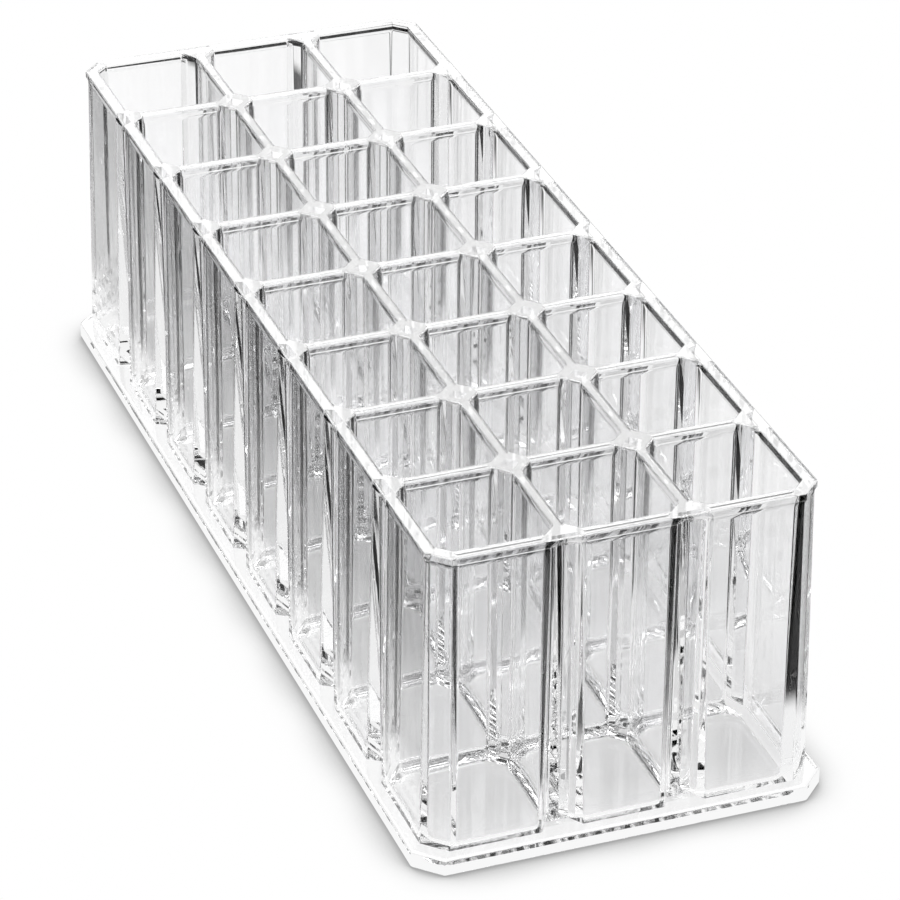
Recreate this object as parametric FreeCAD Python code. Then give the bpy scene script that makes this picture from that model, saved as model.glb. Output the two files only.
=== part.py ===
import FreeCAD, Part
import os
from math import sqrt

# Clear organizer for lip gloss and brushes: rows of deep cups bonded side by side, a rim grid over their mouths
# and a plinth round their feet. Millimetres. The origin is the middle of the foot, +X across the columns, +Y along the
# rows towards the back, +Z up.

# Layout of the cups
columns = 3
rows = 8
pitch_x = 27.8
pitch_y = 31.2
overall_height = 75.0

# Plinth
plinth_height = 4.2
plinth_ledge = 2.6          # how far it stands out past the foot of the walls
plinth_corner_cut = 5.5

# Rim grid
rim_thickness = 1.6
bar_width = 2.4             # between two mouths
border_width = 3.0          # round the outside
rim_corner_cut = 4.5
lip = 0.5                   # the rim stands this far past the walls, inside and out

# Cups
wall_flare = 1.2            # the outer walls lean out by this much at the foot
pocket_corner_cut = 3.2
pocket_draft = 0.35         # each side of a pocket comes in by this much at its floor
floor_thickness = 3.0
floor_cove = 1.6            # sloping strip where the walls meet the floor
groove_width = 6.4          # upright groove outside, between two cups
groove_depth = 2.0
groove_web = 2.4            # flat back of the groove
shaft_cut = 2.1             # corner cut of the cups round each square shaft between four of them

# Sizes that follow
divider_half = bar_width / 2 - lip
margin = border_width - bar_width / 2
wall_margin = margin - lip
cups_top = overall_height - rim_thickness
half_x = columns * pitch_x / 2
half_y = rows * pitch_y / 2


def grown_cut(cut, step):
    """Corner cut of a rectangle whose sides and corners have all moved out by one step."""
    return cut + step * (2 - sqrt(2))


def outline(points, z):
    """Closed wire through the points, at height z."""
    corners = [FreeCAD.Vector(x, y, z) for x, y in points]
    return Part.makePolygon(corners + corners[:1])


def cut_rectangle(x0, x1, y0, y1, cut):
    """The eight corners of a rectangle with its corners cut off."""
    return [(x0, y0 + cut), (x0 + cut, y0), (x1 - cut, y0), (x1, y0 + cut),
            (x1, y1 - cut), (x1 - cut, y1), (x0 + cut, y1), (x0, y1 - cut)]


def centred(reach_x, reach_y, cut):
    """A cut rectangle about the origin."""
    return cut_rectangle(-reach_x, reach_x, -reach_y, reach_y, cut)


def plate(points, bottom, height):
    """A flat plate of this outline."""
    return Part.Face(outline(points, bottom)).extrude(FreeCAD.Vector(0, 0, height))


def cell(column, row):
    """Left, right, front and back of the space that one cup has."""
    left = column * pitch_x - half_x
    front = row * pitch_y - half_y
    return left, left + pitch_x, front, front + pitch_y


def mouth(column, row, step):
    """Outline of a pocket, moved in by step from the top of the cup's wall."""
    x0, x1, y0, y1 = cell(column, row)
    inset = divider_half + step
    cut = grown_cut(pocket_corner_cut, -step)
    return cut_rectangle(x0 + inset, x1 - inset, y0 + inset, y1 - inset, cut)


def corner_notch(side_in_is_outer, side_out_is_outer, flare):
    """Points round one corner of a cup, as distances along the side that comes in and the side that goes out."""
    if side_in_is_outer and side_out_is_outer:
        cut = grown_cut(rim_corner_cut, flare - lip)
        return [(cut, 0), (0, cut)]
    if side_in_is_outer:
        return [(groove_width / 2, 0), (groove_web / 2, groove_depth), (0, groove_depth)]
    if side_out_is_outer:
        return [(groove_depth, 0), (groove_depth, groove_web / 2), (0, groove_width / 2)]
    return [(shaft_cut, 0), (0, shaft_cut)]


def cup_outline(column, row, flare):
    """Outside of a cup: flat against its neighbours, notched for grooves and shafts, flared where it shows."""
    x0, x1, y0, y1 = cell(column, row)
    left, right = column == 0, column == columns - 1
    front, back = row == 0, row == rows - 1
    reach = wall_margin + flare
    x0 -= reach * left
    x1 += reach * right
    y0 -= reach * front
    y1 += reach * back
    points = []
    for x, y, inward, onward, side_in, side_out in (
            (x0, y0, (0, 1), (1, 0), left, front),
            (x1, y0, (-1, 0), (0, 1), front, right),
            (x1, y1, (0, -1), (-1, 0), right, back),
            (x0, y1, (1, 0), (0, -1), back, left)):
        for a, b in corner_notch(side_in, side_out, flare):
            points.append((x + a * inward[0] + b * onward[0], y + a * inward[1] + b * onward[1]))
    return points


def cup_block(column, row):
    """The outside of one cup, as a block without its pocket."""
    return Part.makeLoft([outline(cup_outline(column, row, wall_flare), 0),
                          outline(cup_outline(column, row, 0), cups_top)], True, True)


def make_cup(column, row):
    """One deep cup with drafted walls and a coved floor."""
    pocket = Part.makeLoft([outline(mouth(column, row, pocket_draft + floor_cove), floor_thickness),
                            outline(mouth(column, row, pocket_draft), floor_thickness + floor_cove),
                            outline(mouth(column, row, 0), cups_top)], True, True)
    return cup_block(column, row).cut(pocket)


def make_rim():
    """Flat grid with one window over each cup."""
    border = outline(centred(half_x + margin, half_y + margin, rim_corner_cut), cups_top)
    windows = [outline(mouth(column, row, lip), cups_top) for column in range(columns) for row in range(rows)]
    grid = Part.makeFace([border] + windows, "Part::FaceMakerBullseye")
    return grid.extrude(FreeCAD.Vector(0, 0, rim_thickness))


def make_plinth():
    """Stepped foot: a frame round the cups that closes their grooves from below."""
    reach = wall_margin + wall_flare + plinth_ledge
    foot = plate(centred(half_x + reach, half_y + reach, plinth_corner_cut), 0, plinth_height)
    around_cups = foot.cut([cup_block(column, row) for column in range(columns) for row in range(rows)])
    # The cut also leaves a plug in each shaft between four cups. The shafts are open below, so only the frame stays.
    return max(around_cups.Solids, key=lambda solid: solid.Volume)


def cup_name(column, row):
    """Column letter and row number, counted from the front left."""
    return f"cup_{chr(ord('a') + column)}{row + 1}"


pieces = {"base_plinth": make_plinth(), "rim_grid": make_rim()}
for column in range(columns):
    for row in range(rows):
        pieces[cup_name(column, row)] = make_cup(column, row)

os.makedirs("parts", exist_ok=True)
for name, shape in pieces.items():
    shape.exportStep(f"parts/{name}.step")
    print(name, "solids", len(shape.Solids), "valid", shape.isValid(), "volume", round(shape.Volume, 1))
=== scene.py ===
# %% [markdown]
# # A clear organizer for lip gloss and brushes
# The real thing is moulded from clear polystyrene: twenty-four deep cups in a block, a flat rim that ties
# their mouths together, and a stepped plinth. Everything that the eye sees in it is an edge, a refraction
# or a reflection, so this lesson is about clean closed meshes, glass that joins to glass, and a studio
# that gives the edges something bright and something dark to show.

from math import acos, cos, pi, radians, sin, sqrt, tan

import bmesh
import bpy
from mathutils import Matrix, Vector


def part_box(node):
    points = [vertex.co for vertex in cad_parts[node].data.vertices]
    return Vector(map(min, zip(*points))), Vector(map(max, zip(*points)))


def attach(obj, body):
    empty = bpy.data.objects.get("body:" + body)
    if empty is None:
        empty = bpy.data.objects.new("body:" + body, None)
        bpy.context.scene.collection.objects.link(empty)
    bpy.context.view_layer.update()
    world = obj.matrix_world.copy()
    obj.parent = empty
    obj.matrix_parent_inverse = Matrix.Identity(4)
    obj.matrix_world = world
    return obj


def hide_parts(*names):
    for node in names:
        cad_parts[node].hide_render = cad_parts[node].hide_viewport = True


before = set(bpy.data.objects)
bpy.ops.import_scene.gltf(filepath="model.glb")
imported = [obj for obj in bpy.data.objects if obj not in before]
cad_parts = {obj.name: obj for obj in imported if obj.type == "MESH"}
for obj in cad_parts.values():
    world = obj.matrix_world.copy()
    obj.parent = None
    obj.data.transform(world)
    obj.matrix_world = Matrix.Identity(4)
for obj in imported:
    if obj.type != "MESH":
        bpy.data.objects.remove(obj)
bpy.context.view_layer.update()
print("nodes in the frame:", len(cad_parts))

# %% [markdown]
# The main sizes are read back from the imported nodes, so that the meshes land where the solids are. A cup
# from the middle of the block gives the pitch of the grid, and the boxes of the rim and the plinth give
# the heights. The small sizes that no box can tell are repeated as real sizes. The grooves and the corner
# cuts of the pockets are up to a millimetre and a half off the solids: their true shape shows only in how
# the walls bend light. Meshes are worked out in millimetres, as on a drawing, and scaled to metres when a
# corner is placed.

# %% Sizes of the organizer, in millimetres
MM = 0.001


def node_size(name):
    """Lowest and highest corner of a node, in millimetres."""
    low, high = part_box(name)
    return low / MM, high / MM


COLUMNS, ROWS = 3, 8
rim_low, rim_high = node_size("rim_grid")
foot_high = node_size("base_plinth")[1]
cup_low, cup_high = node_size("cup_b2")
pitch_x, pitch_y = cup_high.x - cup_low.x, cup_high.y - cup_low.y
half_x, half_y = COLUMNS * pitch_x / 2, ROWS * pitch_y / 2
cups_top, top = rim_low.z, rim_high.z
ledge = foot_high.z             # top of the plinth, round the feet of the cups
wall_foot = -node_size("cup_a1")[0].x - half_x      # how far the outer wall stands past the grid at its foot

bar_width = 2.4                 # of the rim, between two mouths
lip = 0.5                       # the rim stands this far past the walls, inside and out
divider_half = bar_width / 2 - lip
wall_top = rim_high.x - half_x - lip
wall_flare = wall_foot - wall_top
rim_corner_cut = 4.5
plinth_corner_cut = 5.5
window_corner_cut = 3.2         # of the rim's windows, before their lip
pocket_corner_cut = 3.9         # of the walls below
pocket_draft = 0.35
floor_thickness = 3.0
groove_width = 7.1              # between two cups, at the top of the outer wall
groove_depth = 2.1
groove_web = 5.2                # flat back of the groove
shaft_cut = 2.1                 # of the cups' corners round a shaft
print(f"pitch {pitch_x:.1f} x {pitch_y:.1f} mm, plinth {ledge:.1f} high, "
      f"rim from {cups_top:.1f} to {top:.1f}")

# %% [markdown]
# A moulded edge is never knife sharp. A Bevel modifier would round them all, but it would also round the
# faces where two pieces are bonded, and a rounded seam inside glass shows as a bright line. Here the
# rounding is part of each outline instead: a helper walks round the corners of an outline and turns a
# corner into an arc where it has a radius. Corners that touch a neighbour have none.

# %% Outlines with rounded corners
ARC_STEPS = 4
CUT_SHARE = 2 - sqrt(2)         # how much a corner cut grows for each step that the sides move out
SMALLEST_RADIUS = 0.15


def arc_corner(before, corner, after, radius):
    """The points of the arc that rounds one corner, or the corner itself where it stays sharp."""
    if not radius:
        return [corner]
    to_before, to_after = (before - corner).normalized(), (after - corner).normalized()
    half_angle = to_before.angle(to_after) / 2
    reach = radius / tan(half_angle)
    centre = corner + (to_before + to_after).normalized() * (radius / sin(half_angle))
    first, last = corner + to_before * reach - centre, corner + to_after * reach - centre
    turn = first.angle(last)
    shares = [step / ARC_STEPS for step in range(ARC_STEPS + 1)]
    return [centre + (first * sin((1 - s) * turn) + last * sin(s * turn)) / sin(turn) for s in shares]


def round_off(corners):
    """Closed outline through corners of (x, y, radius)."""
    points = [Vector((x, y)) for x, y, radius in corners]
    outline = []
    for i, (x, y, radius) in enumerate(corners):
        outline += arc_corner(points[i - 1], points[i], points[(i + 1) % len(points)], radius)
    return outline


def cut_rectangle(x0, x1, y0, y1, cut, radius):
    """Rectangle with its four corners cut off and the eight corners that are left rounded."""
    corners = [(x0, y0 + cut), (x0 + cut, y0), (x1 - cut, y0), (x1, y0 + cut),
               (x1, y1 - cut), (x1 - cut, y1), (x0 + cut, y1), (x0, y1 - cut)]
    return round_off([(x, y, radius) for x, y in corners])


def border(reach_x, reach_y, cut, radius, step=0):
    """Outline about the middle, moved in by step."""
    return cut_rectangle(step - reach_x, reach_x - step, step - reach_y, reach_y - step,
                         cut - step * CUT_SHARE, max(radius - step, SMALLEST_RADIUS))


right_angle = arc_corner(Vector((1, 0)), Vector((0, 0)), Vector((0, 1)), radius=0.5)
print("arc of a right-angled corner:", len(right_angle), "points")

# %% [markdown]
# Every cup is the same pocket with a different outside. The pocket's mouth is a rectangle with cut
# corners. The outside is flat where the cup meets its neighbours, notched to make the upright grooves
# that show on all four sides, and cut at the corners that surround a shaft or end the block. The corner
# tells which of these it is by asking which of its two sides are outer ones. The faces of a groove stand
# upright while the wall beside it leans out, so a groove gets wider and deeper towards the foot.

# %% Outlines of one cup
POCKET_RADIUS = 1.0
GROOVE_RADIUS = 0.5             # at the flat back of a groove
WALL_EDGE_RADIUS = 0.5          # where an outer wall bends into a groove
UPRIGHT_RADIUS = 0.8            # at the four corners of the block
SAME_PLACE = 0.01


def cell(column, row):
    """Left, right, front and back of the space that one cup has."""
    left, front = column * pitch_x - half_x, row * pitch_y - half_y
    return left, left + pitch_x, front, front + pitch_y


def mouth(column, row, step, corner_cut):
    """Outline of a pocket, moved in by step from the top of the cup's wall."""
    x0, x1, y0, y1 = cell(column, row)
    inset = divider_half + step
    return cut_rectangle(x0 + inset, x1 - inset, y0 + inset, y1 - inset,
                         corner_cut - step * CUT_SHARE, max(POCKET_RADIUS - step, SMALLEST_RADIUS))


def window(column, row, step):
    """Outline of a pocket near the rim, where its corner cuts grow into those of the window above."""
    wider = max(1 - step / lip, 0) * (pocket_corner_cut - window_corner_cut)
    return mouth(column, row, step, window_corner_cut + wider)


def corner_notch(in_is_outer, out_is_outer, flare):
    """Points round one corner of a cup: distance along the side in, along the side out, and radius."""
    if in_is_outer and out_is_outer:
        cut = rim_corner_cut + (flare - lip) * CUT_SHARE
        return [(cut, 0, UPRIGHT_RADIUS), (0, cut, UPRIGHT_RADIUS)]
    half_width, depth = groove_width / 2 + flare, groove_depth + flare
    if in_is_outer:
        return [(half_width, 0, WALL_EDGE_RADIUS), (groove_web / 2, depth, GROOVE_RADIUS), (0, depth, 0)]
    if out_is_outer:
        return [(depth, 0, 0), (depth, groove_web / 2, GROOVE_RADIUS), (0, half_width, WALL_EDGE_RADIUS)]
    return [(shaft_cut, 0, 0), (0, shaft_cut, 0)]


def cup_outline(column, row, flare):
    """Outside of a cup, with its outer walls moved out by flare."""
    x0, x1, y0, y1 = cell(column, row)
    left, right, front, back = column == 0, column == COLUMNS - 1, row == 0, row == ROWS - 1
    reach = wall_top + flare
    x0, x1 = x0 - reach * left, x1 + reach * right
    y0, y1 = y0 - reach * front, y1 + reach * back
    corners = []
    for x, y, inward, onward, side_in, side_out in (
            (x0, y0, (0, 1), (1, 0), left, front), (x1, y0, (-1, 0), (0, 1), front, right),
            (x1, y1, (0, -1), (-1, 0), right, back), (x0, y1, (1, 0), (0, -1), back, left)):
        for a, b, radius in corner_notch(side_in, side_out, flare):
            corners.append((x + a * inward[0] + b * onward[0], y + a * inward[1] + b * onward[1], radius))
    return round_off(corners)


NEXT_CUP, SHAFT, OUTSIDE = range(3)


def facing(start, end, column, row):
    """What a stretch of a cup's outline faces: the next cup, a shaft between four, or the outside."""
    x0, x1, y0, y1 = cell(column, row)
    shared_x = [x for x, inner in ((x0, column > 0), (x1, column < COLUMNS - 1)) if inner]
    shared_y = [y for y, inner in ((y0, row > 0), (y1, row < ROWS - 1)) if inner]
    if (any(abs(start.x - x) < SAME_PLACE and abs(end.x - x) < SAME_PLACE for x in shared_x)
            or any(abs(start.y - y) < SAME_PLACE and abs(end.y - y) < SAME_PLACE for y in shared_y)):
        return NEXT_CUP
    deep_inside = abs(start.x) < half_x - pitch_x / 2 and abs(start.y) < half_y - pitch_y / 2
    return SHAFT if deep_inside else OUTSIDE


print("outline of a corner cup has", len(cup_outline(0, 0, 0)), "points, its mouth", len(window(0, 0, 0)))

# %% [markdown]
# Materials, the table and the world are all made of nodes. A node tree could be written out line by line,
# but most lines would only add a node, set a number or draw a link. A small helper does these three
# things, and takes either a number or another node's output for an input.

# %% A board of nodes
class NodeBoard:
    """The nodes of one material or world, with short ways to add and join them."""

    def __init__(self, owner):
        owner.use_nodes = True
        self.nodes, self.links = owner.node_tree.nodes, owner.node_tree.links

    def join(self, value, socket):
        """Sets a socket to a number, or links it to another node's output."""
        if isinstance(value, bpy.types.NodeSocket):
            self.links.new(value, socket)
        else:
            socket.default_value = value

    def add(self, kind, inputs=None, **settings):
        """A new node with these settings, and with inputs given by name or by place."""
        node = self.nodes.new(kind)
        for name, value in settings.items():
            setattr(node, name, value)
        for name, value in (inputs or {}).items():
            self.join(value, node.inputs[name])
        return node

    def map_range(self, value, span, levels, **settings):
        """The value mapped from a span to a pair of levels, and held at them outside the span."""
        numbers = {"From Min": span[0], "From Max": span[1], "To Min": levels[0], "To Max": levels[1]}
        return self.add("ShaderNodeMapRange", {"Value": value, **numbers}, **settings).outputs["Result"]


print("helper for nodes:", NodeBoard.__name__)

# %% [markdown]
# Clear polystyrene bends light a little more than window glass does, with an index of about 1.59. One
# Principled shader with full transmission is enough, and its colour is just off white, so that a view
# through many walls turns slightly grey. What makes it look moulded and not cut is the surface: the melt
# leaves faint upright flow lines and a slow ripple. Both are noise, stretched along the height for the
# flow lines, and both feed the bump. Handling leaves hazy patches on the gloss, so another noise moves
# the roughness. Most of its range lies below zero, which counts as perfectly smooth, so only the patches
# scatter light.

# %% The clear plastic
POLYSTYRENE_INDEX = 1.59
# Each noise has its features in a metre along x, y and z, and its detail
HAZE = ((60, 60, 25), 2)
UNEVEN_GLOSS = ((400, 400, 120), 3)
SLOW_RIPPLE = ((70, 70, 30), 1)
FLOW_LINES = ((260, 260, 14), 2)
NOISE_MIDDLE = (0.35, 0.65)     # most of a noise lies between these
TINTS = ((0.3, (0.985, 0.986, 0.99, 1)), (0.7, (0.998, 0.998, 0.999, 1)))
ROUGHNESS = (-0.06, 0.03)
RIPPLE_DEPTH, FLOW_DEPTH = 0.00002, 0.000004    # metres


def noise_field(board, name, per_metre, detail):
    """Noise in the object's own coordinates."""
    place = board.add("ShaderNodeTexCoord")
    stretch = board.add("ShaderNodeMapping", {"Vector": place.outputs["Object"], "Scale": per_metre})
    numbers = {"Vector": stretch.outputs["Vector"], "Scale": 1, "Detail": detail}
    return board.add("ShaderNodeTexNoise", numbers, label=name).outputs["Fac"]


def bump(board, height, depth, below=None):
    """Bump of that depth in metres, on top of another."""
    node = board.add("ShaderNodeBump", {"Height": height, "Strength": 1, "Distance": depth})
    if below:
        board.join(below, node.inputs["Normal"])
    return node.outputs["Normal"]


def make_clear_plastic():
    """Glossy clear polystyrene with the faint flow lines of a moulding."""
    material = bpy.data.materials.new("clear_plastic")
    board = NodeBoard(material)
    shader = board.nodes["Principled BSDF"]
    shader.inputs["Transmission Weight"].default_value = 1
    shader.inputs["IOR"].default_value = POLYSTYRENE_INDEX
    tint = board.add("ShaderNodeValToRGB", {"Fac": noise_field(board, "haze", *HAZE)})
    for stop, (position, colour) in zip(tint.color_ramp.elements, TINTS):
        stop.position, stop.color = position, colour
    board.join(tint.outputs["Color"], shader.inputs["Base Color"])
    gloss = noise_field(board, "uneven gloss", *UNEVEN_GLOSS)
    board.join(board.map_range(gloss, NOISE_MIDDLE, ROUGHNESS), shader.inputs["Roughness"])
    ripple = bump(board, noise_field(board, "slow ripple", *SLOW_RIPPLE), RIPPLE_DEPTH)
    flow = bump(board, noise_field(board, "flow lines", *FLOW_LINES), FLOW_DEPTH, ripple)
    board.join(flow, shader.inputs["Normal"])
    return material


plastic = make_clear_plastic()
print("made", plastic.name)

# %% [markdown]
# Where two cups are bonded there is no surface left: light goes straight from one to the other. Two glass
# faces in the same place would bend it twice and leave a grey seam. So each piece is a closed mesh, but
# its bonded faces get a second material that is fully see-through. Leaving those faces out would look the
# same, but then no piece would be a solid by itself.

# %% The bonded faces
def make_bonded_joint():
    """A joint face that light passes as if it weren't there."""
    material = bpy.data.materials.new("bonded_joint")
    material.use_nodes = True
    shader = material.node_tree.nodes["Principled BSDF"]
    shader.inputs["Alpha"].default_value = 0
    return material


bond = make_bonded_joint()
PLASTIC, BOND = 0, 1
print("made", bond.name)

# %% [markdown]
# The meshes are stacks of rings. A ring is an outline at one height, a band of quads joins two rings, and
# a flat region between rings is filled with triangles. Corners are shared through a small table keyed by
# their place, so that neighbouring outlines knit together and each piece comes out closed. The faces are
# smooth, the edges above thirty-two degrees are sharp, and weighted normals keep the large flat walls
# flat up to their rounded edges.

# %% Rings, bands and flat fills
SHARP_ANGLE = radians(32)
SAME_HEIGHT = 1e-7              # metres


class Moulding:
    """A mesh under construction, with corners given in millimetres."""

    def __init__(self):
        self.mesh = bmesh.new()
        self.corners = {}

    def ring(self, outline, z):
        """Corners of an outline at one height."""
        return [self.corner(x, y, z) for x, y in outline]

    def corner(self, x, y, z):
        """The corner at this place, made when it is first asked for."""
        key = (round(x, 3), round(y, 3), round(z, 3))
        if key not in self.corners:
            self.corners[key] = self.mesh.verts.new((x * MM, y * MM, z * MM))
        return self.corners[key]

    def band(self, low, high, material=PLASTIC, left_out=None):
        """Quads between two rings of as many corners, in order, but for the stretches left out."""
        kept = [i for i in range(len(low)) if not (left_out and left_out[i])]
        after = {i: (i + 1) % len(low) for i in kept}
        quads = [self.mesh.faces.new((low[i], low[after[i]], high[after[i]], high[i])) for i in kept]
        for quad in quads:
            quad.material_index = material
        return quads

    def stack(self, rings):
        """Bands through a list of rings."""
        for low, high in zip(rings, rings[1:]):
            self.band(low, high)

    def lid(self, ring):
        """One flat face inside a ring."""
        self.mesh.faces.new(ring).material_index = PLASTIC

    def fill(self, edges, material=PLASTIC):
        """Triangles over the flat region that the edges enclose."""
        made = bmesh.ops.triangle_fill(self.mesh, use_beauty=True, edges=edges, normal=(0, 0, 1))
        for part in made["geom"]:
            if isinstance(part, bmesh.types.BMFace):
                part.material_index = material

    def edges_of(self, ring):
        """The edges along a ring, made where there is none yet."""
        pairs = zip(ring, ring[1:] + ring[:1])
        return [self.mesh.edges.get(pair) or self.mesh.edges.new(pair) for pair in pairs]

    def open_loops(self, z):
        """Closed runs of edges at one height that have a face on one side only, shortest first."""
        level = [edge for edge in self.mesh.edges
                 if edge.is_boundary and all(abs(v.co.z - z * MM) < SAME_HEIGHT for v in edge.verts)]
        loops, left = [], dict.fromkeys(level)      # unlike a set, a dict keeps one order in every run
        while left:
            run, ends = [], [left.popitem()[0]]
            while ends:
                edge = ends.pop()
                run.append(edge)
                touching = dict.fromkeys(e for v in edge.verts for e in v.link_edges if e in left)
                for e in touching:
                    del left[e]
                ends += touching
            loops.append(run)
        return sorted(loops, key=len)

    def finish(self, name):
        """Closes the mesh as a piece of the organizer that stands for the CAD node of this name."""
        unused = [corner for corner in self.mesh.verts if not corner.link_faces]
        bmesh.ops.delete(self.mesh, geom=unused, context="VERTS")
        bmesh.ops.recalc_face_normals(self.mesh, faces=self.mesh.faces)
        for face in self.mesh.faces:
            face.smooth = True
        for edge in self.mesh.edges:
            joins_bond = len({face.material_index for face in edge.link_faces}) > 1
            edge.smooth = not joins_bond and edge.calc_face_angle(pi) < SHARP_ANGLE
        unclosed = sum(not edge.is_manifold for edge in self.mesh.edges)
        data = bpy.data.meshes.new(name)
        self.mesh.to_mesh(data)
        self.mesh.free()
        data.materials.append(plastic)
        data.materials.append(bond)
        piece = bpy.data.objects.new(name + "_clear", data)
        bpy.context.scene.collection.objects.link(piece)
        flat = piece.modifiers.new("flat_walls", "WEIGHTED_NORMAL")
        flat.keep_sharp = True
        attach(piece, "root")
        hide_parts(name)
        return piece, unclosed


print("edges turn sharp above", round(SHARP_ANGLE * 180 / pi), "degrees")

# %% [markdown]
# A cup is a deep drafted pocket with a rounded floor edge. A lathe-like stack of rings makes it: a few
# for the bend where the wall thickens to meet the rim, one where the wall ends, a quarter circle of rings
# for the cove, and a lid for the floor. A subdivided cage would round the corners too, but the walls
# would bulge, and a bulge in glass is a lens.

# %% Twenty-four cups
COVE_RADIUS = 2.4
COVE_STEPS = 5
FILLET_RADIUS = 2.5             # of the bend where a wall thickens to meet the rim
FILLET_STEPS = 4
LIP_LEFT = 0.05                 # what is left of the rim's lip past that bend
fillet_reach = lip - LIP_LEFT
fillet_turn = acos(1 - fillet_reach / FILLET_RADIUS)
fillet_height = FILLET_RADIUS * sin(fillet_turn)
wall_height = cups_top - fillet_height
flare_at_ledge = wall_flare * (1 - ledge / wall_height)


def fillet_steps():
    """How far a wall has grown, and at what height, at each step of the bend under the rim."""
    for step in range(FILLET_STEPS + 1):
        angle = fillet_turn * step / FILLET_STEPS
        yield FILLET_RADIUS * (1 - cos(angle)), wall_height + FILLET_RADIUS * sin(angle)


def stretches(column, row):
    """What each stretch of a cup's outline faces, in order."""
    outline = cup_outline(column, row, fillet_reach)
    return [facing(start, end, column, row) for start, end in zip(outline, outline[1:] + outline[:1])]


def cove_rings(cup, column, row):
    """Rings from the foot of the pocket's wall round to its floor."""
    rings = []
    for step in range(COVE_STEPS + 1):
        angle = pi / 2 * step / COVE_STEPS
        inset = pocket_draft + COVE_RADIUS * (1 - cos(angle))
        height = floor_thickness + COVE_RADIUS * (1 - sin(angle))
        rings.append(cup.ring(mouth(column, row, inset, pocket_corner_cut), height))
    return rings


def make_cup(column, row):
    """One cup, bonded to its neighbours, the rim and the plinth."""
    cup = Moulding()
    foot = cup.ring(cup_outline(column, row, wall_flare), 0)
    waist = cup.ring(cup_outline(column, row, flare_at_ledge), ledge)
    outer = [waist] + [cup.ring(cup_outline(column, row, grown), z) for grown, z in fillet_steps()]
    for side, faces in zip(cup.band(foot, waist), stretches(column, row)):
        side.material_index = PLASTIC if faces == SHAFT else BOND
    for low, high in zip(outer, outer[1:]):
        for side, faces in zip(cup.band(low, high), stretches(column, row)):
            side.material_index = BOND if faces == NEXT_CUP else PLASTIC
    inner = [cup.ring(window(column, row, grown), z) for grown, z in fillet_steps()]
    head, opening = outer[-1], inner[-1]
    pocket = inner[::-1] + cove_rings(cup, column, row)
    cup.stack(pocket)
    cup.lid(pocket[-1])
    cup.lid(foot)
    cup.fill(cup.edges_of(head) + cup.edges_of(opening), BOND)
    return cup.finish(f"cup_{chr(ord('a') + column)}{row + 1}")


cells = [(column, row) for column in range(COLUMNS) for row in range(ROWS)]
cups = [make_cup(column, row) for column, row in cells]
print(len(cups), "cups, edges left open:", sum(unclosed for piece, unclosed in cups))

# %% [markdown]
# The rim is a flat grid. Its windows are the mouths of the cups, a hair smaller, so each has a thin lip.
# The top edges of the windows and of the border are rounded by rings on a quarter circle. Underneath, the
# region above each cup's wall is bonded, and what is left over, above the grooves and the shafts, is
# free.

# %% The rim grid
RIM_EDGE = 0.45                 # radius of its top edges
EDGE_STEPS = 4


def rounded_edge_rings(moulding, outline_at, edge_top, radius):
    """Rings over an edge rounded on a quarter circle, side first. outline_at takes the step in."""
    rings = []
    for step in range(EDGE_STEPS + 1):
        angle = pi / 2 * step / EDGE_STEPS
        inset, drop = radius * (1 - cos(angle)), radius * (1 - sin(angle))
        rings.append(moulding.ring(outline_at(inset), edge_top - drop))
    return rings


def close_level(moulding, z):
    """Fills what bonded faces leave open at one height: each shaft, then the outer ring with its grooves."""
    *shafts, walls, outer = moulding.open_loops(z)
    for shaft in shafts:
        moulding.fill(shaft)
    moulding.fill(walls + outer)


def make_rim():
    """The grid that joins the mouths of the cups."""
    rim = Moulding()

    def outside(step):
        return border(rim_high.x, rim_high.y, rim_corner_cut, UPRIGHT_RADIUS, step)

    border_edge = rounded_edge_rings(rim, outside, top, RIM_EDGE)
    rim.stack([rim.ring(outside(0), cups_top)] + border_edge)
    top_edges = rim.edges_of(border_edge[-1])
    for column, row in cells:
        def window_side(step):
            return mouth(column, row, lip - step, window_corner_cut)

        window_edge = rounded_edge_rings(rim, window_side, top, RIM_EDGE)
        opening = rim.ring(window(column, row, fillet_reach), cups_top)
        rim.stack([opening, rim.ring(window(column, row, lip), cups_top)] + window_edge)
        top_edges += rim.edges_of(window_edge[-1])
        head = rim.ring(cup_outline(column, row, fillet_reach), cups_top)
        rim.fill(rim.edges_of(head) + rim.edges_of(opening), BOND)
    rim.fill(top_edges)
    close_level(rim, cups_top)
    return rim.finish("rim_grid")


rim_piece, rim_open = make_rim()
print("rim grid:", len(rim_piece.data.polygons), "faces, edges left open:", rim_open)

# %% [markdown]
# The plinth is a low frame round the feet of the cups. A block with the feet cut out by a Boolean would
# do, but it leaves slivers where faces coincide. Here the outer side is a stack of rings with rounded
# edges like the rim's, and the inner side repeats the cups' own outlines and is bonded to them. The
# underside is flat and level with the cups' feet, and the shafts between four cups stay open below.

# %% The plinth
PLINTH_EDGE = 0.7               # radius of its upper edge


def make_plinth():
    """The stepped foot, a frame round the feet of the cups."""
    plinth = Moulding()

    def outside(step):
        return border(foot_high.x, foot_high.y, plinth_corner_cut, UPRIGHT_RADIUS, step)

    upper = rounded_edge_rings(plinth, outside, ledge, PLINTH_EDGE)
    lower = [plinth.ring(outside(PLINTH_EDGE / 2), 0), plinth.ring(outside(0), PLINTH_EDGE / 2)]
    plinth.stack(lower + upper)
    for column, row in cells:
        low = plinth.ring(cup_outline(column, row, wall_flare), 0)
        high = plinth.ring(cup_outline(column, row, flare_at_ledge), ledge)
        plinth.band(low, high, BOND, [faces != OUTSIDE for faces in stretches(column, row)])
    close_level(plinth, 0)
    close_level(plinth, ledge)
    return plinth.finish("base_plinth")


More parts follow.
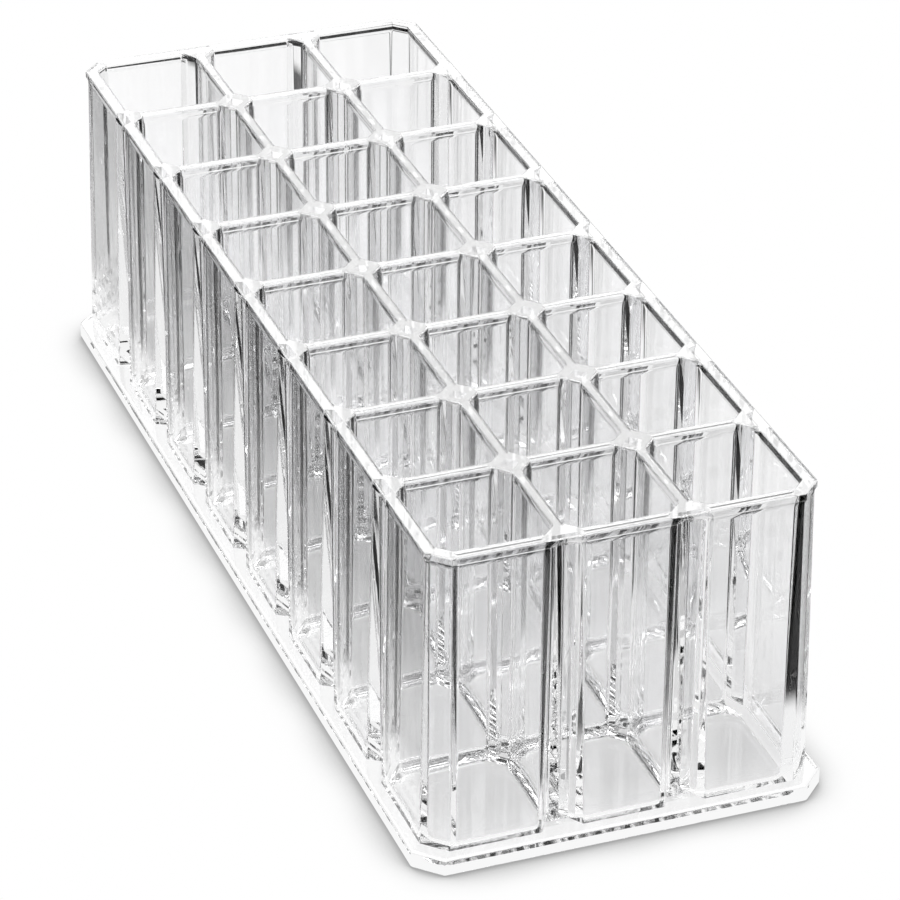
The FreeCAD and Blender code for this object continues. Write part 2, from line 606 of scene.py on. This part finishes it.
plinth_piece, plinth_open = make_plinth()
print("plinth:", len(plinth_piece.data.polygons), "faces, edges left open:", plinth_open)

# %% [markdown]
# Clear plastic has no colour of its own, so the studio does the drawing. A photographer sets such a thing
# on a white table that ends close by, with dark all round it. A pane that is looked straight through
# shows the white table. Light that is bent or mirrored in an edge comes from further off, from the dark,
# and draws the black lines. Real dark boards would do it for one view only, because from another side
# they stand in the panes. So the table here is a glowing sheet that asks each ray what it has been
# through. That takes a little arithmetic in nodes, and these are the three kinds that it needs.

# %% Arithmetic in nodes
def maths(board, operation, *values):
    """One Math node."""
    return board.add("ShaderNodeMath", dict(enumerate(values)), operation=operation).outputs[0]


def ramp(board, value, span, levels):
    """A smooth change between two levels as the value goes over a span."""
    return board.map_range(value, span, levels, interpolation_type="SMOOTHSTEP")


def choose(board, switch, off, on):
    """One number or the other, by a switch of 0 or 1."""
    return board.add("ShaderNodeMix", {"Factor": switch, "A": off, "B": on}).outputs["Result"]


print("node arithmetic:", maths.__name__, ramp.__name__, choose.__name__)

# %% [markdown]
# Every end of the table is a distance from the plinth. The shader works it out from the place of the spot
# that the ray has hit, so no board has to be built, and an end can be as soft as it needs to be.

# %% Distances on the table
def distances_past_plinth(board):
    """How far a spot on the table lies past each side of the plinth, in metres. Negative means inside."""
    place = board.add("ShaderNodeNewGeometry")
    split = board.add("ShaderNodeSeparateXYZ", {"Vector": place.outputs["Position"]})
    past = {}
    for axis, reach, low, high in (("X", foot_high.x, "left", "right"), ("Y", foot_high.y, "front", "back")):
        along = split.outputs[axis]
        past[low] = maths(board, "SUBTRACT", maths(board, "MULTIPLY", along, -1.0), reach * MM)
        past[high] = maths(board, "SUBTRACT", along, reach * MM)

    def outside(low, high):
        return maths(board, "MAXIMUM", maths(board, "MAXIMUM", past[low], past[high]), 0.0)

    past["either side"] = outside("left", "right")
    squares = [maths(board, "MULTIPLY", far, far) for far in (past["either side"], outside("front", "back"))]
    past["the edge"] = maths(board, "SQRT", maths(board, "ADD", *squares))
    return past


print(f"the plinth reaches {foot_high.x:.1f} mm to the sides and {foot_high.y:.1f} mm to the front and back")

# %% [markdown]
# The Light Path node tells what a ray has been through: how many faces it passed, how often it was
# mirrored, and whether it crossed a bonded joint. A view through one wall sees white, but for one dark
# card that lies to the right of the back half. In the photograph's view it is seen mostly through steep
# faces, and draws their dark lines. From some other sides it shows as a dark patch in the far panes.
# Through one wall and a joint, as in the corner of a cup, the table ends a little past either side, and
# through several walls without a joint it ends close by on the left. Light that was mirrored finds a
# short end on both sides and at the front, and gets dimmer the more often it was mirrored.

# %% What light finds after the plastic
FADE_OUT, FADE_IN = (1.0, 0.0), (0.0, 1.0)
# Ends of the table, in metres past the plinth: where it starts to fade, and where it is gone
LEFT_END = (0.004, 0.012)
FRONT_END = (0.004, 0.012)
SIDE_END = (0.02, 0.028)
CORNER_END = (0.03, 0.04)
# The dark card: its near edge, its far edge, its front edge and how bright it is
CARD_NEAR, CARD_FAR, CARD_FRONT = (0.06, 0.072), (0.08, 0.09), (-0.145, -0.135)
CARD_LEVEL = 0.1
# Painted shade: seen through the plastic, the glowing table is dimmer near the plinth, as if in its shadow
PAINTED_SHADE_SPAN, PAINTED_SHADE_LEVELS = (0.0, 0.02), (0.85, 1.0)       # the table is a little dimmer near the plinth
GUIDED, GUIDED_LEVELS = (2.0, 8.0), (0.95, 0.6)             # the level falls with the count of mirrors
NONE, TWO = 0.5, 2.5            # limits between whole counts: more than none, and at most two


def straight_light(board, path, past):
    """Level of the table for light that came through without being mirrored."""
    one_wall = maths(board, "LESS_THAN", path.outputs["Transmission Depth"], TWO)
    crossed = maths(board, "GREATER_THAN", path.outputs["Transparent Depth"], NONE)
    card = ramp(board, past["right"], CARD_NEAR, (1.0, CARD_LEVEL))
    card = maths(board, "MAXIMUM", card, ramp(board, past["right"], CARD_FAR, FADE_IN))
    card = maths(board, "MAXIMUM", card, ramp(board, past["front"], CARD_FRONT, FADE_IN))
    through_one = choose(board, crossed, card, ramp(board, past["either side"], CORNER_END, FADE_OUT))
    through_more = choose(board, crossed, ramp(board, past["left"], LEFT_END, FADE_OUT), 1.0)
    # painted shade of the plinth on the table
    painted_shade = ramp(board, past["the edge"], PAINTED_SHADE_SPAN, PAINTED_SHADE_LEVELS)
    return maths(board, "MULTIPLY", painted_shade, choose(board, one_wall, through_more, through_one))


def mirrored_light(board, path, past):
    """Level of the table for light that was mirrored in the plastic on its way."""
    mirrors = path.outputs["Glossy Depth"]
    few_mirrors = maths(board, "LESS_THAN", mirrors, TWO)
    level = ramp(board, mirrors, GUIDED, GUIDED_LEVELS)
    for end in (ramp(board, past["either side"], SIDE_END, FADE_OUT),
                ramp(board, past["front"], FRONT_END, FADE_OUT),
                choose(board, few_mirrors, 1.0, ramp(board, past["left"], LEFT_END, FADE_OUT))):
        level = maths(board, "MULTIPLY", level, end)
    return level


print("the card lies", [round(edge / MM) for edge in (CARD_NEAR[0], CARD_FAR[1])], "mm past the plinth")

# %% [markdown]
# Under the camera the table is white, with a soft shadow where the plinth meets it, worked out from how
# much of the room each spot sees. It lies a hair below the plinth, so that no two faces share a plane and
# a film of air is left: that film mirrors light and draws the lines round the cups' floors.

# %% The white table
FLOOR_GAP = 0.2                 # millimetres of air under the plinth
FLOOR_SIZE = 6.0
SHADOW_REACH = 0.014
SHADOW_OPENNESS, SHADOW_LEVELS = (0.4, 0.97), (0.4, 1.0)


def glow(board, level):
    """Ends a material in plain white light of that level."""
    light = board.add("ShaderNodeEmission", {"Strength": level})
    board.add("ShaderNodeOutputMaterial", {"Surface": light.outputs[0]})


def make_floor():
    """A wide white sheet just under the plinth."""
    bpy.ops.mesh.primitive_plane_add(size=FLOOR_SIZE, location=(0, 0, -FLOOR_GAP * MM))
    floor = bpy.context.object
    floor.name = "studio_table"
    material = bpy.data.materials.new("white_table")
    board = NodeBoard(material)
    board.nodes.clear()
    path = board.add("ShaderNodeLightPath")
    past = distances_past_plinth(board)
    was_mirrored = maths(board, "GREATER_THAN", path.outputs["Glossy Depth"], NONE)
    straight, mirrored = straight_light(board, path, past), mirrored_light(board, path, past)
    through = choose(board, was_mirrored, straight, mirrored)
    openness = board.add("ShaderNodeAmbientOcclusion", {"Distance": SHADOW_REACH}).outputs["AO"]
    shadow = ramp(board, openness, SHADOW_OPENNESS, SHADOW_LEVELS)
    glow(board, choose(board, path.outputs["Is Camera Ray"], through, shadow))
    floor.data.materials.append(material)
    return floor


floor = make_floor()
print(floor.name, FLOOR_SIZE, "m wide")

# %% [markdown]
# Round its edge the plinth presses on the table. Where two smooth faces touch, no film of air is left,
# and light goes straight from the plastic into the white. A narrow glowing strip just inside the foot
# stands for that contact. Without it, the side of the plinth looks mottled. Lowering the whole block onto
# the table might cure that too, but then the film of air under the cups would be gone as well, and with
# it the lines round the floors.

# %% Where the plinth touches the table
CONTACT_STEPS = (0.4, 6.5)      # outer and inner edge of the strip, in from the plinth's side
CONTACT_HEIGHT = 0.05
CONTACT_LEVEL = 0.94


def make_contact():
    """A strip of the table that the plinth presses on, so close that light passes straight into it."""
    strip = bmesh.new()
    rings = []
    for step in CONTACT_STEPS:
        outline = border(foot_high.x, foot_high.y, plinth_corner_cut, UPRIGHT_RADIUS, step)
        rings.append([strip.verts.new((x * MM, y * MM, CONTACT_HEIGHT * MM)) for x, y in outline])
    outer, inner = rings
    for i in range(len(outer)):
        after = (i + 1) % len(outer)
        strip.faces.new((outer[i], outer[after], inner[after], inner[i]))
    data = bpy.data.meshes.new("table_contact")
    strip.to_mesh(data)
    strip.free()
    piece = bpy.data.objects.new("table_contact", data)
    bpy.context.scene.collection.objects.link(piece)
    white = bpy.data.materials.new("white_contact")
    board = NodeBoard(white)
    board.nodes.clear()
    glow(board, CONTACT_LEVEL)
    data.materials.append(white)
    return piece


contact = make_contact()
print(contact.name, len(contact.data.polygons), "faces")

# %% [markdown]
# Above the table hangs one huge soft light, a dome that is dimmer on the far right. Polished faces mirror
# it, so the flat top of the rim turns white. Light that leaves the plastic upwards finds something else:
# a pale band from front to back, a strong lamp straight above, and the dark on both sides. Lamps and
# cards in the room could give the same, but a world made of a few ramps has no edges that show in the
# plastic. A camera ray that misses everything sees plain white.

# %% The soft light above
# Spans are parts of the ray's direction: 1 is straight up for a height, or straight to the right for a side
DOME_RISE, DOME_LEVELS = (0.1, 0.4), (0.3, 2.5)
DOME_RIGHT, DOME_RIGHT_SHARE = (0.33, 0.46), (1.0, 0.6)
BAND_SIDES, BAND_LEVELS = (0.34, 0.42), (0.9, 0.0)
LAMP_RISE, LAMP_LEVELS = (0.85, 0.95), (0.0, 5.0)
PLAIN_WHITE = 1.0


def make_world():
    """A bright dome to mirror, a band and a lamp for what leaves the plastic, plain white for the camera."""
    world = bpy.data.worlds.new("studio")
    bpy.context.scene.world = world
    board = NodeBoard(world)
    place = board.add("ShaderNodeTexCoord")
    split = board.add("ShaderNodeSeparateXYZ", {"Vector": place.outputs["Generated"]})
    x, height = split.outputs["X"], split.outputs["Z"]
    path = board.add("ShaderNodeLightPath")
    dome = maths(board, "MULTIPLY", ramp(board, height, DOME_RISE, DOME_LEVELS),
                 ramp(board, x, DOME_RIGHT, DOME_RIGHT_SHARE))
    band = ramp(board, maths(board, "ABSOLUTE", x), BAND_SIDES, BAND_LEVELS)
    band_and_lamp = maths(board, "ADD", band, ramp(board, height, LAMP_RISE, LAMP_LEVELS))
    seen = choose(board, path.outputs["Is Transmission Ray"], dome, band_and_lamp)
    level = choose(board, path.outputs["Is Camera Ray"], seen, PLAIN_WHITE)
    background = board.nodes["Background"]
    background.inputs["Color"].default_value = (1, 1, 1, 1)
    board.join(level, background.inputs["Strength"])
    return world


world = make_world()
print("world:", world.name)

# %% [markdown]
# The camera stands far off with a long lens, as in a product photograph: about thirty degrees above the
# table and twenty degrees round to the left of the short front side.

# %% Camera
VIEW_AZIMUTH, VIEW_ELEVATION, VIEW_ROLL = -20.53, 29.77, 0.47
VIEW_DISTANCE = 0.994
VIEW_POINT = Vector((3.5, -11.4, 30.0)) * MM
LENS, SENSOR_WIDTH = 172.6, 36


def add_camera():
    """Camera on a sphere about the point that it looks at."""
    data = bpy.data.cameras.new("camera")
    data.lens = LENS
    data.sensor_width = SENSOR_WIDTH
    camera = bpy.data.objects.new("camera", data)
    azimuth, elevation = radians(VIEW_AZIMUTH), radians(VIEW_ELEVATION)
    back = Vector((sin(azimuth) * cos(elevation), -cos(azimuth) * cos(elevation), sin(elevation)))
    turn = (-back).to_track_quat("-Z", "Y").to_matrix() @ Matrix.Rotation(radians(VIEW_ROLL), 3, "Z")
    camera.matrix_world = Matrix.Translation(VIEW_POINT + back * VIEW_DISTANCE) @ turn.to_4x4()
    bpy.context.scene.collection.objects.link(camera)
    bpy.context.scene.camera = camera
    return camera


camera = add_camera()
print("camera at", [round(x, 3) for x in camera.location])

# %% [markdown]
# A ray can be mirrored twenty times on its way down a wall before it reaches the floor. The usual limit
# of bounces would end it on the way, and the rim would turn black, so the limits are raised.

# %% Light paths and colours
BOUNCES = 48
JOINTS_CROSSED = 64

scene = bpy.context.scene
scene.view_settings.view_transform = "Standard"
scene.cycles.max_bounces = BOUNCES
scene.cycles.glossy_bounces = BOUNCES
scene.cycles.transmission_bounces = BOUNCES
scene.cycles.transparent_max_bounces = JOINTS_CROSSED
print("bounces", scene.cycles.max_bounces)

# %% [markdown]
# Last, the count of the pieces is printed.

# %% The count of pieces
print("sizes written, pieces:", len(cups) + 2)
